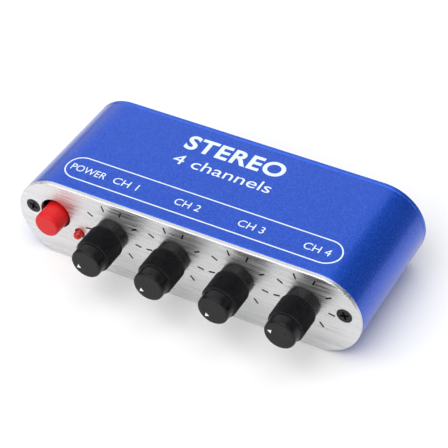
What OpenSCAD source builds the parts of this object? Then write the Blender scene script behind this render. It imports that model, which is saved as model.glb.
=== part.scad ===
// Compact four channel audio mixing console in an extruded case.
// X runs to the right along the front, Y to the rear and Z up.
// The origin is the middle of the case's underside.

/* [Case] */
// width of the case across the front
case_w = 130.4; // [128:0.1:150]
// height of the case, also the diameter of its round ends
case_h = 31.6; // [31:0.1:36]
// depth of the case over both end plates
case_d = 51.6; // [50:0.1:70]
// wall thickness of the extruded tube
wall = 1.5; // [1.2:0.1:1.8]
// thickness of the front and rear plates
plate_t = 1.7; // [1.5:0.1:2]
// size of the bevel along the plates' edges
plate_bevel = 0.22; // [0.1:0.02:0.4]

/* [Controls] */
// distance between neighbouring knobs
knob_pitch = 24; // [22:0.5:26]
// height of the knobs' axes above the underside
control_z = 19.1; // [18.5:0.1:20]
// diameter of the knob's fluted body
knob_d = 12.9; // [12:0.1:14]
// length of the knob from its base to its face
knob_len = 17.2; // [16:0.1:20]
// number of flutes round the knob
flutes = 54; // [30:2:60]
// turn of a potentiometer between its stops
pot_turn = 280; // [270:5:300]
// pointer angle of the first knob, clockwise from straight up
first_angle = -125; // [-140:5:140]
// pointer angle of the second knob, clockwise from straight up
second_angle = -130; // [-140:5:140]
// pointer angle of the third knob, clockwise from straight up
third_angle = -140; // [-140:5:140]
// pointer angle of the fourth knob, clockwise from straight up
fourth_angle = -80; // [-140:5:140]

/* [Power] */
// diameter of the push button cap
button_d = 9.5; // [9:0.1:10.5]
// length of the cap that stands out of the front plate
button_out = 6.7; // [4:0.1:8]
// diameter of the lamp's lens
lamp_d = 3; // [3:0.1:3.4]

/* [Sockets] */
// diameter of the audio plug that fits the jacks
plug_d = 3.5; // [3.5:0.1:3.5]
// distance between neighbouring jacks
jack_pitch = 18; // [16:0.5:19]
// diameter of the power inlet's centre pin
inlet_pin_d = 2.1; // [2.1:0.4:2.5]

/* [Hidden] */
$fn = 48;
eps = 0.01;

// case
end_r = case_h / 2;
front_y = -case_d / 2;
rear_y = case_d / 2;
tube_y = front_y + plate_t;
tube_len = case_d - 2 * plate_t;
tube_bevel = 0.2;
screw_x = 59.3;
screw_z = 18.8;
screw_r = 1.5;
screw_len = 9;
head_r = 2.75;
head_t = 1.6;
boss_r = 2.6;
hole_gap = 0.05;

// circuit board
board_top = 12;
board_t = 1.6;
board_w = 123.8;
board_gap = 3.3;
board_d = case_d - 2 * board_gap;
board_under = board_top - board_t;
slot_gap = 0.15;
rib_t = 1;
rib_x = 60;

// knobs and potentiometers: local z = 0 is the front face of the front plate
panel_gap = 0.3;
knob_x0 = 9 - 1.5 * knob_pitch;
angles = [first_angle, second_angle, third_angle, fourth_angle];
knob_r = knob_d / 2;
base_r = knob_r - 0.5;
base_len = 3.7;
valley_r = knob_r - 0.32;
cap_r = knob_r - 0.8;
cap_len = 3.9;
pointer_t = 0.3;
ink = 0.03;
shaft_r = 3;
run_gap = 0.05;
bushing_r = 3.45;
bushing_out = 2.5;
pot_w = 9.8;
pot_h = 11;
pot_plate_z = -2.3;
pot_plate_t = 1;
deck_t = 4.2;
deck_gap = 0.3;
deck_bore = 3.9;
rotor_r = 3.7;
rotor_t = 1.5;
deck_z = pot_plate_z - pot_plate_t - 0.1;
pot_end = deck_z - 2 * deck_t - deck_gap;
pot_pin_x = [-2.5, 0, 2.5];
strap_t = 0.5;
leg_z = [-5, -11];

// dial marks
marks = 8;
mark_angles = [for (k = [0:marks - 1]) pot_turn * (k / (marks - 1) - 0.5)];
mark_in = 8.85;
mark_out = 11.2;
mark_w = 0.6;

// print on the top face
frame_w = 104.4;
frame_d = 11.6;
frame_line = 0.5;
frame_x = 0.3;
frame_y = front_y + 12;

// power button and switch
button_hole_x = -50.2;
button_hole_z = 18.8;
button_hole_r = 5.9;
// the cap sits a little off the middle of its hole
button_x = button_hole_x + 0.35;
button_z = button_hole_z - 0.35;
button_r = button_d / 2;
button_back = -3.4;
button_wall = 1.2;
socket_w = 3;
plunger_w = 2.9;
press = 2.3;
switch_w = 8.5;
switch_front = button_back - press - 0.5;
switch_back = -18.5;
switch_cavity = -16;
shoulder_z = -8;
shoulder_t = 1;
spring_r = 2.2;
wire_r = 0.18;
spring_turns = 6;

// lamp
lamp_x = -40.9;
lamp_z = 13.55;
lamp_r = lamp_d / 2;
lamp_hole_r = lamp_r + 0.5;
lamp_out = 1.3;

// jacks and inlet: local z = 0 is the rear face of the rear plate
jack_x = [45, 45 - jack_pitch, 45 - 2 * jack_pitch, 45 - 3 * jack_pitch, 45 - 4 * jack_pitch];
jack_z = board_top + 3.3;
jack_bore = plug_d / 2 + 0.05;
jack_nose = 3;
jack_w = 9;
jack_back = -15.6;
jack_end = -14.9;
body_front = -2.2;
nose_out = 0.4;
leaf_x = 2.6;
leaf_t = 0.3;
leaf_z = [-13.4, -12.4];
inlet_x = -47;
inlet_z = board_top + 6.5;
inlet_bore = 3.15;
inlet_nose = 3.9;
inlet_r = inlet_pin_d / 2;
inlet_back = -14.4;
inlet_floor = -11.8;
inlet_foot_r = 1.5;
// feet of the inlet's contacts: local x and z on the rear
inlet_feet = [[0, inlet_back - 0.25], [0, -7.5], [3.2, -10.4]];

// parts on the board
chip_x = [-15, 6, 27];
chip_y = 2;
chip_w = 9.4;
chip_d = 6.4;
chip_h = 3.3;
chip_pitch = 2.54;
chip_leg_y = 3.5;
can_x = [-48, -39, -30];
can_y = 1;
can_r = 3.15;
can_h = 11;
film_x = [-7, 14, 36];
film_y = -6.5;
resistor_x = [-22, -17, -12, 0, 5, 10, 18, 23, 34, 40];
resistor_y = 8.2;

// a disc with bevelled edges, standing on z = 0
module bevel_disc(r, t, c) {
    rotate_extrude()
        polygon([[0, 0], [r - c, 0], [r, c], [r, t - c], [r - c, t], [0, t]]);
}

// a plate with round ends and bevelled edges, from z = 0 to z = t
module pill(w, h, t, c) {
    for (side = [-1, 1])
        translate([side * (w - h) / 2, 0, 0])
            bevel_disc(h / 2, t, c);
    translate([-(w - h) / 2, 0, 0])
        rotate([90, 0, 90])
            linear_extrude(w - h)
                polygon([
                    [-h / 2, c], [-h / 2 + c, 0], [h / 2 - c, 0], [h / 2, c],
                    [h / 2, t - c], [h / 2 - c, t], [-h / 2 + c, t], [-h / 2, t - c]
                ]);
}

module stadium(w, h) {
    square([w - h, h], center = true);
    for (side = [-1, 1])
        translate([side * (w - h) / 2, 0])
            circle(d = h, $fn = 96);
}

module box(size, at) {
    translate([at[0] - size[0] / 2, at[1] - size[1] / 2, at[2]])
        cube(size);
}

// local x to the right, local y up, local z out of the front
module on_front(x, z) {
    translate([x, front_y, z])
        rotate([90, 0, 0])
            children();
}

// local x to the right as seen from behind, local y up, local z out of the rear
module on_rear(x, z) {
    translate([x, rear_y, z])
        rotate([90, 0, 180])
            children();
}

module on_control(i) {
    on_front(knob_x0 + i * knob_pitch, control_z)
        children();
}

module turned(i) {
    on_control(i)
        rotate([0, 0, -angles[i]])
            children();
}

module screw_hole(depth) {
    translate([0, 0, -head_t])
        cylinder(h = head_t + eps, r1 = screw_r + hole_gap, r2 = head_r + hole_gap + eps);
    translate([0, 0, -depth])
        cylinder(h = depth, r = screw_r + 0.1);
}

module screw() {
    difference() {
        union() {
            translate([0, 0, -head_t])
                cylinder(h = head_t, r1 = screw_r - 0.02, r2 = head_r);
            translate([0, 0, -screw_len])
                cylinder(h = screw_len - head_t + eps, r = screw_r - 0.02);
        }
        for (turn = [0, 90])
            rotate([0, 0, turn])
                box([3.3, 0.8, 2], [0, 0, -1]);
    }
}

module tube_section() {
    difference() {
        stadium(case_w, case_h);
        stadium(case_w - 2 * wall, case_h - 2 * wall);
    }
    for (side = [-1, 1]) {
        translate([side * screw_x, screw_z - end_r])
            circle(r = boss_r);
        // web that joins the screw boss to the wall
        translate([side * screw_x, screw_z - end_r])
            rotate(side > 0 ? 17 : 163)
                translate([0, -0.8])
                    square([4.3, 1.6]);
        // ribs above and below the edge of the circuit board
        translate([side * (rib_x + 2) - 2, board_top + slot_gap - end_r])
            square([4, rib_t]);
        translate([side * (rib_x + 1.7) - 1.7, board_under - slot_gap - rib_t - end_r])
            square([3.4, rib_t]);
    }
}

module shell() {
    color([0.16, 0.32, 0.78])
        difference() {
            translate([0, tube_y + tube_len, end_r])
                rotate([90, 0, 0])
                    intersection() {
                        linear_extrude(tube_len)
                            tube_section();
                        pill(case_w, case_h, tube_len, tube_bevel);
                    }
            for (side = [-1, 1])
                translate([side * screw_x, 0, screw_z])
                    rotate([90, 0, 0])
                        cylinder(h = case_d, r = screw_r, center = true);
        }
}

module front_plate() {
    color([0.86, 0.86, 0.87])
        difference() {
            on_front(0, end_r)
                translate([0, 0, -plate_t])
                    pill(case_w, case_h, plate_t, plate_bevel);
            for (i = [0:3])
                on_control(i)
                    cylinder(h = 8, r = bushing_r + 0.15, center = true);
            on_front(button_hole_x, button_hole_z)
                cylinder(h = 8, r = button_hole_r, center = true);
            on_front(lamp_x, lamp_z)
                cylinder(h = 8, r = lamp_hole_r, center = true);
            for (side = [-1, 1])
                on_front(side * screw_x, screw_z)
                    screw_hole(4);
        }
}

module rear_plate() {
    color([0.15, 0.30, 0.76])
        difference() {
            on_rear(0, end_r)
                translate([0, 0, -plate_t])
                    pill(case_w, case_h, plate_t, plate_bevel);
            for (x = jack_x)
                on_rear(x, jack_z)
                    cylinder(h = 8, r = jack_nose + 0.15, center = true);
            on_rear(inlet_x, inlet_z)
                cylinder(h = 8, r = inlet_nose + 0.15, center = true);
            for (side = [-1, 1])
                on_rear(side * screw_x, screw_z)
                    screw_hole(4);
        }
}

module front_screws() {
    color([0.08, 0.08, 0.09])
        for (side = [-1, 1])
            on_front(side * screw_x, screw_z)
                rotate([0, 0, side * 20])
                    screw();
}

module rear_screws() {
    color([0.08, 0.08, 0.09])
        for (side = [-1, 1])
            on_rear(side * screw_x, screw_z)
                rotate([0, 0, 30 - side * 15])
                    screw();
}

// a square hole through the board for one terminal
module pin_hole(x, y, w) {
    box([w, w, board_t + 2], [x, y, board_under - 1]);
}

module circuit_board() {
    color([0.05, 0.30, 0.16])
        difference() {
            box([board_w, board_d, board_t], [0, 0, board_under]);
            for (i = [0:3], k = [0:1]) {
                for (px = pot_pin_x)
                    pin_hole(knob_x0 + i * knob_pitch + px, front_y - deck_pin_z(k), 1);
                for (side = [-1, 1])
                    pin_hole(knob_x0 + i * knob_pitch + side * (pot_w / 2 - strap_t / 2),
                        front_y - leg_z[k], 1.8);
            }
            for (px = [-2.5, 0, 2.5], pz = [-9, -15])
                pin_hole(button_x + px, front_y - pz, 1);
            for (side = [-1, 1])
                pin_hole(lamp_x + side * 1.27, front_y + 6, 0.9);
            for (x = jack_x, side = [-1, 1])
                pin_hole(x + side * (leaf_x + leaf_t / 2), rear_y + leaf_z[0] + 0.5, 1.3);
            for (at = inlet_feet)
                pin_hole(inlet_x - at[0], rear_y + at[1], 1.4);
            for (x = chip_x, k = [0:3], side = [-1, 1])
                pin_hole(x + (k - 1.5) * chip_pitch, chip_y + side * chip_leg_y, 0.9);
        }
}

module dial_marks() {
    color([0.05, 0.05, 0.05])
        for (i = [0:3], a = mark_angles)
            on_control(i)
                rotate([0, 0, -a])
                    translate([-mark_w / 2, mark_in, 0])
                        cube([mark_w, mark_out - mark_in, ink]);
}

module top_print() {
    color([0.95, 0.95, 0.95])
        intersection() {
            translate([0, rear_y, end_r])
                rotate([90, 0, 0])
                    linear_extrude(case_d)
                        difference() {
                            stadium(case_w + 2 * ink, case_h + 2 * ink);
                            stadium(case_w, case_h);
                        }
            translate([frame_x, frame_y, end_r])
                linear_extrude(case_h)
                    difference() {
                        stadium(frame_w, frame_d);
                        stadium(frame_w - 2 * frame_line, frame_d - 2 * frame_line);
                    }
        }
}

// knob profile of a given body radius, as radius and height points
function knob_profile(r) = [
    [0, 0], [base_r - 0.2, 0], [base_r, 0.2], [base_r, base_len], [r - 0.1, base_len + 0.4],
    [r, base_len + 0.8], [r - 0.2, knob_len - cap_len - 0.9],
    [r - 0.55, knob_len - cap_len - 0.2], [cap_r, knob_len - cap_len],
    [cap_r - 0.05, knob_len - 0.6], [cap_r - 0.2, knob_len - 0.25],
    [cap_r - 0.6, knob_len], [0, knob_len]
];

// outline with flutes between radius ro and radius ri
function flute_ring(n, ro, ri) = [
    for (k = [0:n - 1], c = [0:3])
        let (a = 360 * (k + [0, 0.4, 0.52, 0.88][c]) / n, r = c < 2 ? ro : ri)
            [r * cos(a), r * sin(a)]
];

module pointer_shape(t) {
    linear_extrude(t)
        polygon([[0, 4.25], [-0.8, 2.85], [0.8, 2.85]]);
}

module knob(i) {
    color([0.09, 0.09, 0.10])
        turned(i)
            translate([0, 0, panel_gap])
                difference() {
                    union() {
                        rotate_extrude()
                            polygon(knob_profile(valley_r));
                        intersection() {
                            translate([0, 0, base_len])
                                linear_extrude(knob_len - base_len - cap_len)
                                    polygon(flute_ring(flutes, knob_r, valley_r - 0.3));
                            rotate_extrude()
                                polygon(knob_profile(knob_r));
                        }
                    }
                    translate([0, 0, -1])
                        cylinder(h = 13, r = shaft_r + 0.02);
                    translate([0, 0, -1])
                        cylinder(h = 4.2, r = bushing_r + 0.5);
                    translate([0, 0, knob_len - pointer_t])
                        pointer_shape(1);
                }
}

module pointer(i) {
    color([0.96, 0.96, 0.96])
        turned(i)
            translate([0, 0, panel_gap + knob_len - pointer_t])
                pointer_shape(pointer_t + ink);
}

module shaft(i) {
    color([0.72, 0.72, 0.74])
        turned(i)
            difference() {
                union() {
                    translate([0, 0, pot_plate_z - pot_plate_t])
                        cylinder(h = 12 - pot_plate_z + pot_plate_t, r = shaft_r);
                    translate([0, 0, pot_end + 0.4])
                        cylinder(h = deck_z - pot_end, r = 1.6);
                    for (k = [0:1])
                        translate([0, 0, deck_front(k) - deck_t / 2 - rotor_t / 2])
                            cylinder(h = rotor_t, r = rotor_r);
                }
                // slit that lets the splined end spring into the knob
                translate([-0.5, -5, 5])
                    cube([1, 10, 10]);
            }
}

function deck_front(k) = deck_z - k * (deck_t + deck_gap);
function deck_pin_z(k) = deck_front(k) - deck_t / 2;

module bushing(i) {
    color([0.78, 0.78, 0.80])
        on_control(i)
            difference() {
                union() {
                    box([pot_w, pot_h, pot_plate_t], [0, 0, pot_plate_z - pot_plate_t]);
                    translate([0, 0, pot_plate_z - eps])
                        cylinder(h = bushing_out - pot_plate_z, r = bushing_r);
                    // straps along both sides, each with two legs into the board
                    for (side = [-1, 1]) {
                        box([strap_t, pot_h, pot_plate_z - pot_end + 0.4],
                            [side * (pot_w - strap_t) / 2, 0, pot_end - 0.4]);
                        for (z = leg_z)
                            box([strap_t, 7, 1.4],
                                [side * (pot_w - strap_t) / 2, -6.3, z - 0.7]);
                    }
                    box([pot_w, 3, 0.4], [0, 3.5, pot_end - 0.4]);
                }
                cylinder(h = 20, r = shaft_r + run_gap, center = true);
            }
}

module decks(i) {
    color([0.45, 0.25, 0.12])
        on_control(i)
            for (k = [0:1])
                difference() {
                    box([pot_w - 2 * strap_t - 0.1, 10.4, deck_t], [0, 0, deck_front(k) - deck_t]);
                    translate([0, 0, deck_front(k) - deck_t - 1])
                        cylinder(h = deck_t + 2, r = deck_bore);
                }
}

module pot_pins(i) {
    color([0.80, 0.80, 0.78])
        on_control(i)
            for (k = [0:1], x = pot_pin_x)
                box([0.8, 5, 0.4], [x, -5.2 - 2.5, deck_pin_z(k) - 0.2]);
}

module power_button() {
    color([0.80, 0.05, 0.06])
        on_front(button_x, button_z)
            difference() {
                rotate_extrude()
                    polygon([
                        [0, button_back], [button_r, button_back], [button_r - 0.1, button_out - 1],
                        [button_r - 0.25, button_out - 0.5], [button_r - 0.6, button_out - 0.15],
                        [button_r - 1.1, button_out], [0, button_out + 0.1]
                    ]);
                difference() {
                    translate([0, 0, button_back - 1])
                        cylinder(h = button_out - button_back - button_wall + 1,
                            r = button_r - button_wall);
                    translate([0, 0, button_back])
                        cylinder(h = 12, r = 2.6);
                }
                box([socket_w, socket_w, 6], [0, 0, button_back - 1]);
            }
}

module power_plunger() {
    color([0.90, 0.90, 0.88])
        on_front(button_x, button_z) {
            box([plunger_w, plunger_w, 1.4 - shoulder_z], [0, 0, shoulder_z]);
            translate([0, 0, shoulder_z - shoulder_t])
                cylinder(h = shoulder_t, r = 3);
            translate([0, 0, shoulder_z - 5])
                cylinder(h = 4.1, r = 1);
        }
}

module power_switch() {
    color([0.12, 0.12, 0.13])
        on_front(button_x, button_z)
            difference() {
                union() {
                    box([switch_w, switch_w, switch_front - switch_back], [0, 0, switch_back]);
                    box([switch_w, 3, 10], [0, board_top - button_z + 1.5, -17.2]);
                }
                translate([0, 0, switch_cavity])
                    cylinder(h = shoulder_z + 0.3 - switch_cavity, r = 3.3);
                box([plunger_w + 0.3, plunger_w + 0.3, 6], [0, 0, shoulder_z]);
            }
}

// centre of the spring wire after a given part of its length, with a flat first and last turn
function coil_point(f, len) = [
    spring_r * cos(360 * spring_turns * f),
    spring_r * sin(360 * spring_turns * f),
    len * min(1, max(0, (f * spring_turns - 0.8) / (spring_turns - 1.6)))
];
function coil_ring(f, len) = [
    for (j = [0:7])
        let (a = 360 * spring_turns * f, b = 45 * j)
            coil_point(f, len) + wire_r * [cos(a) * cos(b), sin(a) * cos(b), sin(b)]
];

module coil(len) {
    steps = spring_turns * 16;
    points = [for (s = [0:steps]) each coil_ring(s / steps, len)];
    sides = [
        for (s = [0:steps - 1], j = [0:7])
            let (a = 8 * s + j, b = 8 * s + (j + 1) % 8)
                each [[a, b, b + 8], [a, b + 8, a + 8]]
    ];
    first = [for (j = [7:-1:0]) j];
    last = [for (j = [0:7]) 8 * steps + j];
    polyhedron(points = points, faces = concat([first], sides, [last]));
}

module power_spring() {
    color([0.75, 0.75, 0.77])
        on_front(button_x, button_z)
            translate([0, 0, switch_cavity + wire_r + 0.02])
                coil(shoulder_z - shoulder_t - switch_cavity - 2 * wire_r - 0.04);
}

module power_pins() {
    color([0.80, 0.80, 0.78])
        on_front(button_x, button_z)
            for (x = [-2.5, 0, 2.5], z = [-9, -15])
                box([0.7, 3.2, 0.4], [x, board_top - button_z - 1.6, z - 0.2]);
}

module lamp_lens() {
    color([0.85, 0.06, 0.08])
        on_front(lamp_x, lamp_z) {
            rotate_extrude()
                polygon([
                    [0, -3], [lamp_r + 0.4, -3], [lamp_r + 0.4, -2.2], [lamp_r, -2.2],
                    [lamp_r, lamp_out], [0, lamp_out]
                ]);
            translate([0, 0, lamp_out])
                sphere(r = lamp_r);
        }
}

module lamp_leads() {
    color([0.80, 0.80, 0.78])
        on_front(lamp_x, lamp_z)
            for (side = [-1, 1]) {
                box([0.5, 0.5, 3.25], [side * 1.27, 0, -6.25]);
                box([0.5, 4.8, 0.5], [side * 1.27, -2.15, -6.25]);
            }
}

module jack(x) {
    color([0.10, 0.10, 0.11])
        on_rear(x, jack_z)
            difference() {
                union() {
                    box([jack_w, 6.6, body_front - jack_back], [0, 0, jack_back]);
                    translate([0, 0, body_front - eps])
                        cylinder(h = nose_out - body_front, r = jack_nose);
                }
                translate([0, 0, jack_end])
                    cylinder(h = 20, r = jack_bore);
                for (side = [-1, 1]) {
                    // pocket, contact window and terminal slot of one spring contact
                    box([1.2, 3.6, 7.2], [side * (leaf_x + 0.3), 0, -13.6]);
                    box([2, 0.9, 1.4], [side * (leaf_x - 0.5), 0, -10.7]);
                    box([1.2, 4, 1.2], [side * (leaf_x + 0.3), -3, -13.6]);
                }
            }
}

module jack_contacts(x) {
    color([0.85, 0.75, 0.45])
        on_rear(x, jack_z)
            for (side = [-1, 1]) {
                box([leaf_t, 2.6, 6.4], [side * (leaf_x + leaf_t / 2), 0, leaf_z[0]]);
                box([leaf_x - jack_bore - 0.05, 0.7, 0.8],
                    [side * (leaf_x + jack_bore + 0.05) / 2, 0, -10.4]);
                box([leaf_t, 6.5, 1], [side * (leaf_x + leaf_t / 2), -2.1, leaf_z[0]]);
            }
}

module inlet_body() {
    color([0.10, 0.10, 0.11])
        on_rear(inlet_x, inlet_z)
            difference() {
                union() {
                    box([9, 11, body_front - inlet_back], [0, -1, inlet_back]);
                    translate([0, 0, body_front - eps])
                        cylinder(h = nose_out - body_front, r = inlet_nose);
                }
                translate([0, 0, inlet_floor])
                    cylinder(h = 20, r = inlet_bore);
                cylinder(h = 40, r = inlet_foot_r, center = true);
                // slots for the contacts' feet
                box([2, 5, 1.4], [0, -5.5, inlet_feet[1][1] - 0.7]);
                box([0.8, 3, 1.6], [inlet_feet[2][0], -5.1, inlet_feet[2][1] - 0.8]);
            }
}

module inlet_pin() {
    color([0.82, 0.80, 0.72])
        on_rear(inlet_x, inlet_z)
            rotate_extrude()
                polygon([
                    [0, inlet_back], [inlet_foot_r, inlet_back],
                    [inlet_foot_r, inlet_floor - 0.05], [inlet_r, inlet_floor - 0.05],
                    [inlet_r, -1.1], [inlet_r - 0.3, -0.7], [0, -0.6]
                ]);
}

module inlet_contacts() {
    color([0.85, 0.75, 0.45])
        on_rear(inlet_x, inlet_z) {
            // tail that leaves the pin at the back
            box([2.6, 7.6, 0.5], [0, -2.5, inlet_back - 0.5]);
            box([1, 2.4, 0.5], [0, -7.3, inlet_back - 0.5]);
            // sleeve spring and switch foot
            box([1, 4.6, 0.4], [0, -5.8, inlet_feet[1][1] - 0.2]);
            box([0.4, 4.4, 1.2], [inlet_feet[2][0], -6.1, inlet_feet[2][1] - 0.6]);
        }
}

module amplifier_chips() {
    color([0.10, 0.10, 0.10])
        for (x = chip_x) {
            difference() {
                box([chip_w, chip_d, chip_h], [x, chip_y, board_top + 0.5]);
                translate([x - chip_w / 2, chip_y, board_top + chip_h])
                    cylinder(h = 2, r = 0.8);
            }
            for (k = [0:3], side = [-1, 1]) {
                leg_x = x + (k - 1.5) * chip_pitch;
                box([0.5, 0.28, 4.6], [leg_x, chip_y + side * chip_leg_y, board_under - 0.9]);
                box([0.5, 0.5, 0.25], [leg_x, chip_y + side * 3.4, board_top + 1.8]);
            }
        }
}

module supply_capacitors() {
    color([0.12, 0.14, 0.30])
        for (x = can_x)
            translate([x, can_y, board_top])
                rotate_extrude()
                    polygon([
                        [0, 0], [can_r, 0], [can_r, 1], [can_r - 0.25, 1.3], [can_r, 1.6],
                        [can_r, can_h - 0.3], [can_r - 0.3, can_h], [0, can_h]
                    ]);
}

module film_capacitors() {
    color([0.75, 0.12, 0.10])
        for (x = film_x)
            box([7.2, 2.6, 6.5], [x, film_y, board_top]);
}

module resistors() {
    color([0.08, 0.08, 0.08])
        for (x = resistor_x)
            box([2, 1.25, 0.55], [x, resistor_y, board_top]);
}

shell();
front_plate();
rear_plate();
front_screws();
rear_screws();
circuit_board();
dial_marks();
top_print();
knob(0);  // vol1_knob
pointer(0);  // vol1_pointer
shaft(0);  // vol1_shaft
bushing(0);  // vol1_bushing
decks(0);  // vol1_decks
pot_pins(0);  // vol1_pins
knob(1);  // vol2_knob
pointer(1);  // vol2_pointer
shaft(1);  // vol2_shaft
bushing(1);  // vol2_bushing
decks(1);  // vol2_decks
pot_pins(1);  // vol2_pins
knob(2);  // vol3_knob
pointer(2);  // vol3_pointer
shaft(2);  // vol3_shaft
bushing(2);  // vol3_bushing
decks(2);  // vol3_decks
pot_pins(2);  // vol3_pins
knob(3);  // vol4_knob
pointer(3);  // vol4_pointer
shaft(3);  // vol4_shaft
bushing(3);  // vol4_bushing
decks(3);  // vol4_decks
pot_pins(3);  // vol4_pins
power_button();
power_plunger();
power_switch();
power_spring();
power_pins();
lamp_lens();
lamp_leads();
jack(jack_x[0]);  // in1_jack
jack_contacts(jack_x[0]);  // in1_contacts
jack(jack_x[1]);  // in2_jack
jack_contacts(jack_x[1]);  // in2_contacts
jack(jack_x[2]);  // in3_jack
jack_contacts(jack_x[2]);  // in3_contacts
jack(jack_x[3]);  // in4_jack
jack_contacts(jack_x[3]);  // in4_contacts
jack(jack_x[4]);  // out_jack
jack_contacts(jack_x[4]);  // out_contacts
inlet_body();
inlet_pin();
inlet_contacts();
amplifier_chips();
supply_capacitors();
film_capacitors();
resistors();
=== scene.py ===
"""Compact four channel mixing console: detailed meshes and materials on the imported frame."""
import math

import bpy
import numpy as np
from mathutils import Matrix, Vector


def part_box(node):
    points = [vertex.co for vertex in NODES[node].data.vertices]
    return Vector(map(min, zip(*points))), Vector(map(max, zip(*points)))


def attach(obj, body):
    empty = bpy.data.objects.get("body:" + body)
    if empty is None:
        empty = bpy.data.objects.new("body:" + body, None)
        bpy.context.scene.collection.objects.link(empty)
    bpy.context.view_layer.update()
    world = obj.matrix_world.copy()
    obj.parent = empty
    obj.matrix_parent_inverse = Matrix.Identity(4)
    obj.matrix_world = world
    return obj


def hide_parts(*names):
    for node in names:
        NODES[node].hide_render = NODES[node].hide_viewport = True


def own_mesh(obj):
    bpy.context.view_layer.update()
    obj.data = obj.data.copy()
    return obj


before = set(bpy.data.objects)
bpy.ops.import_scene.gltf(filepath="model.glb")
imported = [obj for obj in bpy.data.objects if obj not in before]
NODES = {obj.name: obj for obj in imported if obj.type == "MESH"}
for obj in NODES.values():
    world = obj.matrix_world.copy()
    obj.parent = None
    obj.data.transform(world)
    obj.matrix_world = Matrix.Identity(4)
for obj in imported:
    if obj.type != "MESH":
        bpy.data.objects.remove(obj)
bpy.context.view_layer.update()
MM = 0.001
TAU = 2 * math.pi


# ---------------------------------------------------------------- measures and camera

FRONT_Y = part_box("front_plate")[0].y
REAR_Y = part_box("rear_plate")[1].y
TOP_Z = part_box("shell")[1].z

AZIMUTH, ELEVATION, ROLL = (math.radians(a) for a in (30.29, 41.5, -2.25))
CAMERA_TARGET = Vector((0.00123, 0.00022, 0.014))
CAMERA_DISTANCE = 0.558
FOCAL_LENGTH, SENSOR_WIDTH = 130.64, 36


def make_camera():
    """The photograph's viewpoint: above and to the right of the front, rolled a little."""
    back = Vector((
        math.sin(AZIMUTH) * math.cos(ELEVATION),
        -math.cos(AZIMUTH) * math.cos(ELEVATION),
        math.sin(ELEVATION),
    ))
    side = Vector((math.cos(AZIMUTH), math.sin(AZIMUTH), 0))
    up = back.cross(side)
    right = side * math.cos(ROLL) + up * math.sin(ROLL)
    top = up * math.cos(ROLL) - side * math.sin(ROLL)
    data = bpy.data.cameras.new("camera")
    data.lens = FOCAL_LENGTH
    data.sensor_width = SENSOR_WIDTH
    data.clip_start, data.clip_end = 0.01, 20
    cam = bpy.data.objects.new("camera", data)
    bpy.context.scene.collection.objects.link(cam)
    turn = Matrix((right, top, back)).transposed().to_4x4()
    cam.matrix_world = Matrix.Translation(CAMERA_TARGET + back * CAMERA_DISTANCE) @ turn
    bpy.context.scene.camera = cam


make_camera()


# ---------------------------------------------------------------- node material helpers

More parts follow.
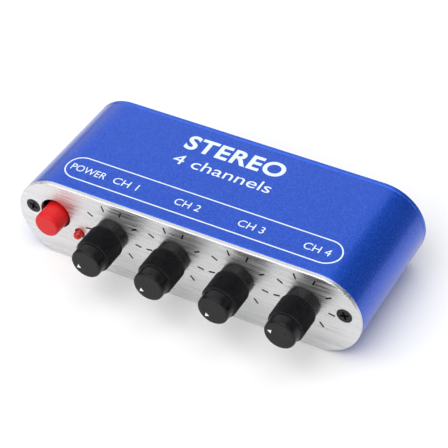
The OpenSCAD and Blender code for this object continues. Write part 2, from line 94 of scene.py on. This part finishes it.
class Shader:
    """Builds one principled material from nodes placed in object space.

    Texture scales are features per metre, depths are in metres."""

    def __init__(self, name, base, rough, **sockets):
        self.mat = bpy.data.materials.new(name)
        self.mat.use_nodes = True
        self.tree = self.mat.node_tree
        self.out = self.tree.nodes["Principled BSDF"]
        self.set("Base Color", (*base, 1))
        self.set("Roughness", rough)
        for key, value in sockets.items():
            self.set(key.replace("_", " "), value)
        coords = self.tree.nodes.new("ShaderNodeTexCoord")
        self.place = coords.outputs["Object"]

    def set(self, socket, value):
        self.out.inputs[socket].default_value = value

    def node(self, kind, **props):
        made = self.tree.nodes.new(kind)
        for key, value in props.items():
            setattr(made, key, value)
        return made

    def link(self, a, b):
        self.tree.links.new(a, b)

    def stretched(self, scale):
        """Object coordinates multiplied by a scale on each axis."""
        made = self.node("ShaderNodeMapping")
        made.inputs["Scale"].default_value = scale
        self.link(self.place, made.inputs["Vector"])
        return made.outputs["Vector"]

    def noise(self, scale, detail=3, rough=0.55, place=None):
        made = self.node("ShaderNodeTexNoise")
        made.inputs["Scale"].default_value = scale
        made.inputs["Detail"].default_value = detail
        made.inputs["Roughness"].default_value = rough
        self.link(place or self.place, made.inputs["Vector"])
        return made.outputs["Fac"]

    def grains(self, scale):
        """Distance to the middle of the nearest cell."""
        made = self.node("ShaderNodeTexVoronoi")
        made.inputs["Scale"].default_value = scale
        self.link(self.place, made.inputs["Vector"])
        return made.outputs["Distance"]

    def ramp(self, value, stops):
        """Turns a value into a colour between stops of (position, colour)."""
        made = self.node("ShaderNodeValToRGB")
        band = made.color_ramp
        for i, (at, colour) in enumerate(stops):
            stop = band.elements[i] if i < 2 else band.elements.new(at)
            stop.position = at
            stop.color = (*colour, 1)
        self.link(value, made.inputs["Fac"])
        return made.outputs["Color"]

    def span(self, value, low, high, from_low=0.3, from_high=0.7):
        """Maps a value's usual range to low ... high."""
        made = self.node("ShaderNodeMapRange")
        made.inputs["From Min"].default_value = from_low
        made.inputs["From Max"].default_value = from_high
        made.inputs["To Min"].default_value = low
        made.inputs["To Max"].default_value = high
        self.link(value, made.inputs["Value"])
        return made.outputs["Result"]

    def math(self, operation, a, b):
        made = self.node("ShaderNodeMath", operation=operation)
        for i, value in enumerate((a, b)):
            if isinstance(value, (int, float)):
                made.inputs[i].default_value = value
            else:
                self.link(value, made.inputs[i])
        return made.outputs[0]

    def mix(self, factor, a, b, blend="MIX"):
        made = self.node("ShaderNodeMix", data_type="RGBA", blend_type=blend)
        for socket, value in ((0, factor), (6, a), (7, b)):
            if isinstance(value, tuple):
                made.inputs[socket].default_value = (*value, 1)
            elif isinstance(value, (int, float)):
                made.inputs[socket].default_value = value
            else:
                self.link(value, made.inputs[socket])
        return made.outputs[2]

    def colour(self, value):
        self.link(value, self.out.inputs["Base Color"])

    def roughness(self, value):
        self.link(value, self.out.inputs["Roughness"])

    def bump(self, layers):
        """Stacks height layers, each given as value, strength and depth in metres."""
        normal = None
        for value, strength, depth in layers:
            made = self.node("ShaderNodeBump")
            made.inputs["Strength"].default_value = strength
            made.inputs["Distance"].default_value = depth
            self.link(value, made.inputs["Height"])
            if normal:
                self.link(normal, made.inputs["Normal"])
            normal = made.outputs["Normal"]
        self.link(normal, self.out.inputs["Normal"])


def shades(base, low, high):
    """A darker and a lighter version of one colour."""
    return tuple(c * low for c in base), tuple(min(1, c * high) for c in base)


def anodised_blue(name, base):
    """Sand-blasted and dyed aluminium under a clear sealed skin, with a fine sparkling grain."""
    s = Shader(name, base, 0.4, Metallic=0.62, Coat_Weight=0.9, Coat_Roughness=0.2,
               Coat_IOR=1.30, Specular_IOR_Level=0.3)
    grain = s.noise(2100, 2, 0.55)
    sparkle = s.grains(3400)
    cloud = s.noise(34, 2, 0.5)
    # the light grain is paler as well as brighter, as bare metal shows through the dye
    dark = (0.0, base[1] * 0.55, base[2] * 0.80)
    light = (0.040, base[1] + 0.085, base[2] * 1.24)
    speck = s.ramp(grain, [(0.30, dark), (0.70, light), (0.5, base)])
    faint, strong = shades(base, 0.92, 1.08)
    wash = s.ramp(cloud, [(0.3, faint), (0.7, strong)])
    s.colour(s.mix(0.4, speck, wash))
    s.roughness(s.math("ADD", s.span(grain, 0.32, 0.43), s.span(cloud, -0.02, 0.02)))
    s.bump([(grain, 0.5, 0.00004), (sparkle, 0.35, 0.00003)])
    return s.mat


def brushed(name, base):
    """Metal with drawn lines along X, of uneven depth, length and brightness."""
    s = Shader(name, base, 0.34, Metallic=0.9, Anisotropic=0.4)

    def lines(per_metre_along, per_metre_across, detail):
        scale = (per_metre_along, per_metre_across, per_metre_across)
        return s.noise(1, detail, 0.6, s.stretched(scale))

    thread = lines(75, 2500, 1)
    fine = lines(130, 5200, 1)
    broad = lines(40, 1100, 2)
    cloud = s.noise(45, 2, 0.5)
    dark, light = shades(base, 0.80, 1.16)
    streak = s.ramp(thread, [(0.34, dark), (0.66, light)])
    dark, light = shades(base, 0.88, 1.10)
    wide = s.ramp(broad, [(0.32, dark), (0.68, light)])
    dark, light = shades(base, 0.95, 1.05)
    wash = s.ramp(cloud, [(0.3, dark), (0.7, light)])
    s.colour(s.mix(0.3, s.mix(0.4, streak, wide), wash))
    s.roughness(s.math("ADD", s.span(thread, 0.25, 0.50, 0.35, 0.65),
                       s.span(cloud, -0.02, 0.03)))
    s.bump([(broad, 0.9, 0.00010), (thread, 1.0, 0.00010), (fine, 0.6, 0.00003)])
    return s.mat


def moulded(name, base, rough, grain=0.2, coat=0.0, dust=0.05, level=0.5):
    """Injection moulded plastic: a fine spark-eroded grain, slight gloss changes and dust."""
    s = Shader(name, base, rough, Coat_Weight=coat, Coat_Roughness=0.12, IOR=1.5,
               Specular_IOR_Level=level)
    fine = s.noise(4200, 2, 0.5)
    cells = s.grains(2600)
    broad = s.noise(160, 3, 0.6)
    pale = tuple(c * (1 - dust) + dust * 0.55 for c in base)
    s.colour(s.ramp(broad, [(0.38, base), (0.85, pale)]))
    s.roughness(s.math("ADD", s.span(broad, rough - 0.05, rough + 0.08),
                       s.span(fine, -0.03, 0.03)))
    s.bump([(cells, grain * 0.5, 0.00003), (fine, grain, 0.00002)])
    return s.mat


def knob_plastic(name, base):
    """Satin black plastic with a slightly worn, paler skin and a scatter of fine dust."""
    s = Shader(name, base, 0.34, IOR=1.48, Specular_IOR_Level=0.24)
    fine = s.noise(5200, 2, 0.5)
    rub = s.noise(420, 4, 0.65)
    broad = s.noise(90, 2, 0.5)
    specks = s.grains(900)
    worn = tuple(c * 1.6 + 0.003 for c in base)
    skin = s.ramp(rub, [(0.36, base), (0.78, worn)])
    dust = s.ramp(specks, [(0.0, (0.11, 0.11, 0.115)), (0.07, (0.0, 0.0, 0.0))])
    s.colour(s.mix(1.0, skin, dust, "LIGHTEN"))
    s.roughness(s.math("ADD", s.span(rub, 0.24, 0.36), s.span(broad, -0.03, 0.03)))
    s.bump([(rub, 0.12, 0.00004), (fine, 0.3, 0.00002)])
    return s.mat


def plated(name, base, rough, metallic=1.0):
    """Plated or turned small metal part with fine handling marks."""
    s = Shader(name, base, rough, Metallic=metallic)
    fine = s.noise(2400, 3, 0.6)
    broad = s.noise(260, 3, 0.6)
    dark, light = shades(base, 0.78, 1.06)
    s.colour(s.ramp(broad, [(0.3, dark), (0.65, light)]))
    s.roughness(s.span(fine, rough - 0.06, rough + 0.1))
    s.bump([(fine, 0.2, 0.00002)])
    return s.mat


def ink(name, base, rough=0.5, level=0.3):
    """Screen printed ink: slightly uneven cover and a soft sheen."""
    s = Shader(name, base, rough, Specular_IOR_Level=level)
    fine = s.noise(3600, 3, 0.6)
    broad = s.noise(420, 2, 0.5)
    thin, full = shades(base, 0.9, 1.0)
    s.colour(s.ramp(broad, [(0.25, thin), (0.6, full)]))
    s.roughness(s.span(fine, rough - 0.08, rough + 0.12))
    s.bump([(fine, 0.25, 0.00001)])
    return s.mat


def lens_red(name):
    """Tinted epoxy of the lamp, cloudy inside."""
    s = Shader(name, (0.62, 0.008, 0.012), 0.16, Transmission_Weight=0.25, IOR=1.5,
               Coat_Weight=0.2, Coat_Roughness=0.08, Specular_IOR_Level=0.35)
    fine = s.noise(900, 2, 0.5)
    s.colour(s.ramp(fine, [(0.3, (0.48, 0.004, 0.008)), (0.7, (0.86, 0.035, 0.02))]))
    s.roughness(s.span(fine, 0.08, 0.2))
    s.bump([(fine, 0.1, 0.00002)])
    return s.mat


BLUE = anodised_blue("anodised_blue", (0.004, 0.074, 0.57))
REAR_BLUE = anodised_blue("anodised_blue_plate", (0.008, 0.092, 0.60))
SILVER = brushed("brushed_aluminium", (0.72, 0.72, 0.725))
BLACK_OXIDE = plated("black_oxide", (0.014, 0.014, 0.016), 0.40, 0.45)
BOARD = moulded("solder_mask", (0.015, 0.16, 0.06), 0.35, 0.1, 0.3)
INK_BLACK = ink("black_ink", (0.006, 0.006, 0.007), 0.6, 0.12)
INK_WHITE = ink("white_ink", (0.78, 0.88, 0.95))
KNOB = knob_plastic("knob_plastic", (0.005, 0.005, 0.006))
POINTER = moulded("pointer_plastic", (0.86, 0.86, 0.86), 0.45, 0.15)
SHAFT = plated("turned_aluminium", (0.72, 0.72, 0.74), 0.32)
FRAME_STEEL = plated("plated_steel", (0.70, 0.70, 0.72), 0.3)
PHENOLIC = moulded("phenolic_board", (0.30, 0.13, 0.05), 0.5, 0.2)
TINNED = plated("tinned_terminals", (0.80, 0.79, 0.75), 0.3)
BUTTON = moulded("button_plastic", (0.66, 0.008, 0.010), 0.42, 0.08, 0.12, 0.0, 0.25)
STEM = moulded("switch_stem", (0.80, 0.80, 0.76), 0.45, 0.15)
SWITCH = moulded("switch_case", (0.03, 0.03, 0.034), 0.5, 0.25)
SPRING = plated("spring_wire", (0.62, 0.62, 0.65), 0.25)
LENS = lens_red("lamp_epoxy")
JACK = moulded("socket_plastic", (0.020, 0.020, 0.022), 0.45, 0.25, 0.0, 0.05)
CONTACT = plated("contact_brass", (0.80, 0.62, 0.30), 0.28)
NICKEL = plated("nickel_pin", (0.78, 0.76, 0.70), 0.2)
CHIP = moulded("chip_epoxy", (0.02, 0.02, 0.02), 0.6, 0.35)
SLEEVE = moulded("capacitor_sleeve", (0.02, 0.03, 0.14), 0.3, 0.05, 0.3)
FILM = moulded("film_coating", (0.50, 0.02, 0.02), 0.3, 0.05, 0.4)
RESISTOR = moulded("resistor_ceramic", (0.03, 0.03, 0.03), 0.5, 0.1)

NODE_LOOKS = {
    "shell": BLUE, "front_plate": SILVER, "rear_plate": REAR_BLUE,
    "front_screws": BLACK_OXIDE, "rear_screws": BLACK_OXIDE, "circuit_board": BOARD,
    "dial_marks": INK_BLACK, "top_print": INK_WHITE,
    "power_button": BUTTON, "power_plunger": STEM, "power_switch": SWITCH,
    "power_spring": SPRING, "power_pins": TINNED, "lamp_lens": LENS, "lamp_leads": TINNED,
    "inlet_body": JACK, "inlet_pin": NICKEL, "inlet_contacts": CONTACT,
    "amplifier_chips": CHIP, "supply_capacitors": SLEEVE, "film_capacitors": FILM,
    "resistors": RESISTOR,
}
SUFFIX_LOOKS = {
    "_knob": KNOB, "_pointer": POINTER, "_shaft": SHAFT, "_bushing": FRAME_STEEL,
    "_decks": PHENOLIC, "_pins": TINNED, "_jack": JACK, "_contacts": CONTACT,
}


def dress_nodes():
    """Gives every CAD node its finished material."""
    for name, obj in NODES.items():
        look = NODE_LOOKS.get(name)
        if look is None:
            look = next(m for end, m in SUFFIX_LOOKS.items() if name.endswith(end))
        for at in range(len(obj.data.materials)):
            obj.data.materials[at] = look


dress_nodes()


# ---------------------------------------------------------------- mesh helpers

def add_piece(name, verts, faces, material, body, replaces=(), smooth=True):
    mesh = bpy.data.meshes.new(name)
    mesh.from_pydata([tuple(v) for v in verts], [], faces)
    mesh.validate()
    mesh.polygons.foreach_set("use_smooth", [smooth] * len(mesh.polygons))
    mesh.materials.append(material)
    obj = bpy.data.objects.new(name, mesh)
    bpy.context.scene.collection.objects.link(obj)
    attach(obj, body)
    if replaces:
        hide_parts(*replaces)
    return obj


def fillet(corners, steps):
    """Rounds an open line of (radius, height, fillet) corners to (radius, height) points."""
    out = [corners[0][:2]]
    for before, (*corner, radius), after in zip(corners, corners[1:], corners[2:]):
        p = Vector(corner)
        if not radius:
            out.append(tuple(p))
            continue
        a = (Vector(before[:2]) - p).normalized()
        b = (Vector(after[:2]) - p).normalized()
        half = a.angle(b) / 2
        cut = radius / math.tan(half)
        start, end = p + a * cut, p + b * cut
        for k in range(steps + 1):
            t = k / steps
            out.append(tuple(start * (1 - t) ** 2 + p * 2 * t * (1 - t) + end * t ** 2))
    out.append(corners[-1][:2])
    return out


def lathe(line, count, place, shape=None):
    """Turns a line of (radius, height) points that starts and ends on its axis.

    place maps (x, y, height) with the axis at x = y = 0 into the frame. shape(angle, radius)
    may change the radius."""
    verts, faces = [], []
    for r, h in line:
        for k in range(count):
            a = TAU * k / count
            rr = shape(a, r) if shape else r
            verts.append(place(rr * math.cos(a), rr * math.sin(a), h))
    for i in range(len(line) - 1):
        for k in range(count):
            n = (k + 1) % count
            faces.append((i * count + k, i * count + n, (i + 1) * count + n, (i + 1) * count + k))
    return verts, faces


def on_front(x, z):
    """Local (right, up, out of the front) to the frame."""
    return lambda a, b, h: (x + a, FRONT_Y - h, z + b)


# ---------------------------------------------------------------- knobs

KNOB_BOXES = {i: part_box(f"vol{i}_knob") for i in range(1, 5)}
KNOB_AXES = {i: (low + high) / 2 for i, (low, high) in KNOB_BOXES.items()}
KNOB_LOW, KNOB_HIGH = KNOB_BOXES[1]
KNOB_R = (KNOB_HIGH.z - KNOB_LOW.z) / 2
KNOB_GAP = FRONT_Y - KNOB_HIGH.y
KNOB_LEN = KNOB_HIGH.y - KNOB_LOW.y
# the mesh has FLUTE_SIDES points to a flute, and rings at least RING_GAP apart between corners
FLUTES = 54
FLUTE_SIDES = 8
FLUTE_DEPTH = 0.49 * MM
FLUTE_SHARPNESS = 0.7
COLLAR_R = KNOB_R - 0.5 * MM
CAP_R = KNOB_R - 0.8 * MM
GROOVE_DEPTH = 0.45 * MM
SHAFT_BORE_R, SHAFT_BORE_DEPTH = 3.03 * MM, 12 * MM
NUT_RECESS_R, NUT_RECESS_DEPTH = 3.95 * MM, 3.2 * MM
RING_GAP = 0.6 * MM


def knob_outline():
    """Half section from the bottom of the shaft's bore, round the outside, to the face's middle."""
    corners = [
        (0, SHAFT_BORE_DEPTH, 0),
        (SHAFT_BORE_R, SHAFT_BORE_DEPTH, 0),
        (SHAFT_BORE_R, NUT_RECESS_DEPTH, 0),
        (NUT_RECESS_R, NUT_RECESS_DEPTH, 0),
        (NUT_RECESS_R, 0, 0),
        # collar
        (COLLAR_R, 0, 0.25 * MM),
        (COLLAR_R, 3.75 * MM, 0.12 * MM),
        # fluted body
        (KNOB_R, 4.15 * MM, 0.15 * MM),
        (KNOB_R - 0.05 * MM, KNOB_LEN - 4.5 * MM, 0.12 * MM),
        (COLLAR_R, KNOB_LEN - 4.15 * MM, 0.08 * MM),
        # groove under the cap
        (CAP_R - GROOVE_DEPTH, KNOB_LEN - 4.1 * MM, 0),
        (CAP_R - GROOVE_DEPTH, KNOB_LEN - 3.8 * MM, 0),
        # cap
        (CAP_R, KNOB_LEN - 3.7 * MM, 0.12 * MM),
        (CAP_R - 0.12 * MM, KNOB_LEN, 0.7 * MM),
        (0, KNOB_LEN, 0),
    ]
    line = fillet(corners, steps=6)
    dense = [line[0]]
    for a, b in zip(line, line[1:]):
        parts = max(1, int(math.dist(a, b) / RING_GAP))
        for k in range(1, parts + 1):
            dense.append(tuple(a[j] + (b[j] - a[j]) * k / parts for j in (0, 1)))
    return dense


def fluted(angle, r):
    """Cuts the flutes as deep as the collar, so that they run out at both ends of the body."""
    wave = 0.5 - 0.5 * math.cos(FLUTES * angle)
    return min(r, KNOB_R - FLUTE_DEPTH * wave ** FLUTE_SHARPNESS)


def make_knobs():
    outline = knob_outline()
    for i, axis in KNOB_AXES.items():
        plate = on_front(axis.x, axis.z)
        verts, faces = lathe(outline, FLUTES * FLUTE_SIDES,
                             lambda a, b, h: plate(a, b, h + KNOB_GAP), fluted)
        add_piece(f"volume_knob_{i}", verts, faces, KNOB, f"volume_{i}",
                  [f"vol{i}_knob"])


# ---------------------------------------------------------------- power button

BUTTON_SIDES = 128
BUTTON_WALL = 1.2 * MM
BUTTON_CROWN = 0.1 * MM
STALK_R = 2.6 * MM
PLUNGER_BORE_R, PLUNGER_BORE_DEPTH = 2.06 * MM, 5 * MM


def make_button():
    """A hollow cap with a slightly crowned face and a bore for the plunger in its stalk."""
    low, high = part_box("power_button")
    x, z = (low.x + high.x) / 2, (low.z + high.z) / 2
    r, back, out = (high.z - low.z) / 2, FRONT_Y - high.y, FRONT_Y - low.y
    inner, roof = r - BUTTON_WALL, out - BUTTON_WALL - BUTTON_CROWN
    corners = [
        (0, back + PLUNGER_BORE_DEPTH, 0),
        (PLUNGER_BORE_R, back + PLUNGER_BORE_DEPTH, 0),
        (PLUNGER_BORE_R, back, 0.1 * MM),
        (STALK_R, back, 0.1 * MM),
        (STALK_R, roof, 0),
        (inner, roof, 0),
        (inner, back, 0),
        (r, back, 0.25 * MM),
        (r - 0.15 * MM, out - BUTTON_CROWN, 1.0 * MM),
        (0.02 * MM, out, 0),
        (0, out, 0),
    ]
    line = fillet(corners, steps=10)
    verts, faces = lathe(line, BUTTON_SIDES, on_front(x, z))
    add_piece("power_button_cap", verts, faces, BUTTON, "power", ["power_button"])


# ---------------------------------------------------------------- return spring of the button

WIRE_R = 0.18 * MM
WIRE_SIDES = 14
SPRING_TURNS = 6
STEPS_PER_TURN = 40
FLAT_TURN = 0.7


def make_spring():
    """Coiled wire with flat end turns between the switch's floor and the plunger's shoulder."""
    low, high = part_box("power_spring")
    x, z = (low.x + high.x) / 2, (low.z + high.z) / 2
    coil_r = (high.z - low.z) / 2 - WIRE_R
    rise = high.y - low.y - 2 * WIRE_R
    steps, sides = SPRING_TURNS * STEPS_PER_TURN, WIRE_SIDES
    verts, faces = [], []
    for i in range(steps + 1):
        turn = SPRING_TURNS * i / steps
        climb = max(0, min(1, (turn - FLAT_TURN) / (SPRING_TURNS - 2 * FLAT_TURN)))
        a, y = TAU * turn, high.y - WIRE_R - rise * climb
        for j in range(sides):
            b = TAU * j / sides
            r = coil_r + WIRE_R * math.cos(b)
            verts.append((x + r * math.cos(a), y - WIRE_R * math.sin(b), z + r * math.sin(a)))
    for i in range(steps):
        for j in range(sides):
            k = (j + 1) % sides
            faces.append((i * sides + j, i * sides + k, (i + 1) * sides + k, (i + 1) * sides + j))
    faces.append(tuple(reversed(range(sides))))
    faces.append(tuple(steps * sides + j for j in range(sides)))
    spring = add_piece("power_return_spring", verts, faces, SPRING, "case",
                       ["power_spring"])
    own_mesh(spring)


# ---------------------------------------------------------------- printed words and numbers

# CAP_UNITS is a capital's height and TITLE_WEIGHT a thickening of strokes, in font sizes
INK_T = 0.03 * MM
CAP_UNITS = 0.729
TITLE_WEIGHT = 0.028
LABEL_ROW = -13.95 * MM
LABEL_CAP = 3.3 * MM
REAR_ROW = 24.4 * MM
REAR_CAP = 2.2 * MM


def print_text(name, words, middle, width, cap, place, weight=0):
    """Thin printed letters, sized to a width and a capital height about a middle point.

    weight thickens the strokes and spreads the letters. place maps (right, up, height above
    the surface) to the frame."""
    curve = bpy.data.curves.new(name + "_letters", "FONT")
    curve.body = words
    curve.offset = weight
    curve.space_character = 1 + 3 * weight
    curve.extrude = 0.5
    curve.resolution_u = 6
    source = bpy.data.objects.new(name + "_letters", curve)
    bpy.context.scene.collection.objects.link(source)
    graph = bpy.context.evaluated_depsgraph_get()
    flat = bpy.data.meshes.new_from_object(source.evaluated_get(graph))
    bpy.data.objects.remove(source)
    bpy.data.curves.remove(curve)
    points = np.array([v.co[:] for v in flat.vertices])
    faces = [tuple(f.vertices) for f in flat.polygons]
    bpy.data.meshes.remove(flat)
    left, right = points[:, 0].min(), points[:, 0].max()
    cap_units = CAP_UNITS + 2 * weight
    verts = []
    for a, b, h in points:
        verts.append(place(middle[0] + (a - (left + right) / 2) * width / (right - left),
                           middle[1] + ((b + weight) / cap_units - 0.5) * cap,
                           (h + 0.5) * INK_T))
    add_piece(name, verts, faces, INK_WHITE, "case", smooth=False)


def on_top(a, b, h):
    """Local (right, back, out of the top) to the frame."""
    return (a, b, TOP_Z + h)


def on_rear(a, b, h):
    """Local (right as seen from behind, up, out of the rear) to the frame."""
    return (-a, REAR_Y + h, b)


def make_print():
    """A title and a row of control labels on the top, and the socket labels behind."""
    print_text("print_title", "STEREO", middle=(-1.9 * MM, 15.6 * MM), width=38 * MM,
               cap=7.9 * MM, place=on_top, weight=TITLE_WEIGHT)
    print_text("print_subtitle", "4 channels", middle=(-1.8 * MM, 5.7 * MM), width=37.6 * MM,
               cap=5.2 * MM, place=on_top)
    print_text("print_power", "POWER", middle=(-42.8 * MM, LABEL_ROW), width=13.6 * MM,
               cap=LABEL_CAP, place=on_top)
    for i, axis in KNOB_AXES.items():
        print_text(f"print_channel_{i}", f"CH {i}", middle=(axis.x - 1.1 * MM, LABEL_ROW),
                   width=9.6 * MM, cap=LABEL_CAP, place=on_top)
    sockets = {"in1": "IN 1", "in2": "IN 2", "in3": "IN 3", "in4": "IN 4", "out": "OUT"}
    for node, words in sockets.items():
        low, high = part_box(node + "_jack")
        print_text("print_" + node, words, middle=(-(low.x + high.x) / 2, REAR_ROW),
                   width=6.6 * MM, cap=REAR_CAP, place=on_rear)
    low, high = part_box("inlet_pin")
    print_text("print_dc", "DC", middle=(-(low.x + high.x) / 2, REAR_ROW + 1.2 * MM),
               width=4.4 * MM, cap=REAR_CAP, place=on_rear)


# ---------------------------------------------------------------- floor, lights, world

FLOOR_HALF = 3.0
WORLD_COLOUR = (0.96, 0.97, 1, 1)
WORLD_STRENGTH = 0.16
LIGHT_TARGET = Vector((0, 0, 0.015))


def area_light(name, at, size, power):
    """A white panel aimed at the object and out of the camera's sight."""
    data = bpy.data.lights.new(name, "AREA")
    data.shape = "RECTANGLE"
    data.size, data.size_y = size
    data.energy = power
    obj = bpy.data.objects.new(name, data)
    obj.location = at
    obj.rotation_euler = (LIGHT_TARGET - Vector(at)).to_track_quat("-Z", "Y").to_euler()
    obj.visible_camera = False
    bpy.context.scene.collection.objects.link(obj)


def make_floor():
    mesh = bpy.data.meshes.new("floor")
    corners = [(x * FLOOR_HALF, y * FLOOR_HALF, 0) for x, y in ((-1, -1), (1, -1), (1, 1), (-1, 1))]
    mesh.from_pydata(corners, [], [(0, 1, 2, 3)])
    s = Shader("floor_paper", (0.95, 0.95, 0.95), 0.7, Specular_IOR_Level=0.2)
    s.bump([(s.noise(700, 3), 0.05, 0.0001)])
    mesh.materials.append(s.mat)
    floor = bpy.data.objects.new("floor", mesh)
    bpy.context.scene.collection.objects.link(floor)


def make_light():
    world = bpy.data.worlds.new("studio")
    world.use_nodes = True
    back = world.node_tree.nodes["Background"]
    back.inputs["Color"].default_value = WORLD_COLOUR
    back.inputs["Strength"].default_value = WORLD_STRENGTH
    bpy.context.scene.world = world
    area_light("key", at=(-0.35, -0.80, 0.95), size=(1.6, 1.3), power=12.6)
    area_light("overhead", at=(0.15, -0.15, 1.3), size=(1.8, 1.7), power=13)
    area_light("right_low", at=(1.1, -0.65, 0.45), size=(0.8, 0.5), power=2.4)
    area_light("back_left", at=(-0.50, 0.88, 0.62), size=(1.25, 1.1), power=3.9)
    bpy.context.scene.view_settings.view_transform = "Standard"


make_knobs()
make_button()
make_spring()
make_print()
make_floor()
make_light()
